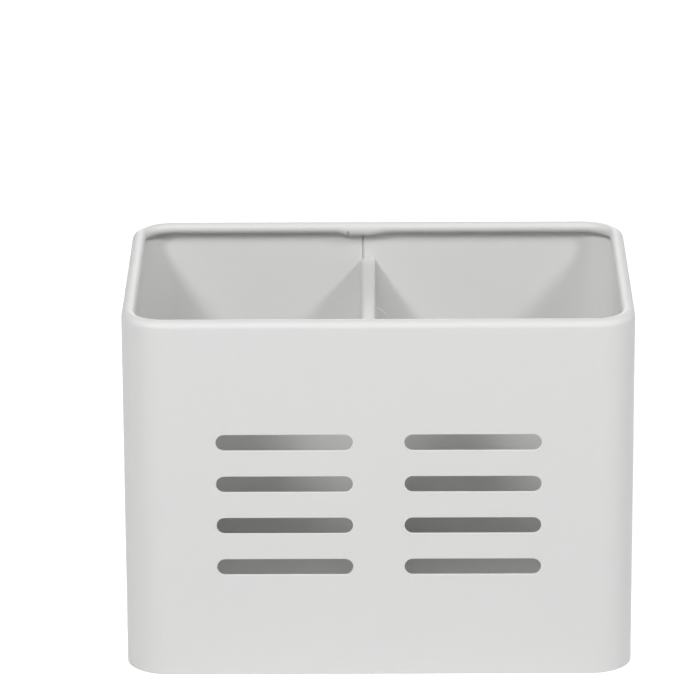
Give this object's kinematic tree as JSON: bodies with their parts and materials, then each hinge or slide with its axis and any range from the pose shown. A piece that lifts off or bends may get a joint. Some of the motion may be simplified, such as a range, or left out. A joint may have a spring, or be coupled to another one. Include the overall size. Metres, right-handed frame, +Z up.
{
  "type": "cutlery holder",
  "caption": "Upright open box in white powder-coated sheet steel with a rolled rim, a divider between its bays, a raised drained floor and long slots in the front.",
  "frame": {"origin": "middle of the foot, on the surface that the holder stands on", "axes": "+X to the right along the slotted front, +Y from the front to the lapped back, +Z up"},
  "size_m": [0.18, 0.12, 0.132],
  "materials": {
    "white_powder_coat": "satin powder coat over sheet steel, with a fine orange-peel"
  },
  "bodies": {
    "root": {"wall_band": "white_powder_coat", "base_tray": "white_powder_coat", "divider": "white_powder_coat"}
  },
  "joints": []
}
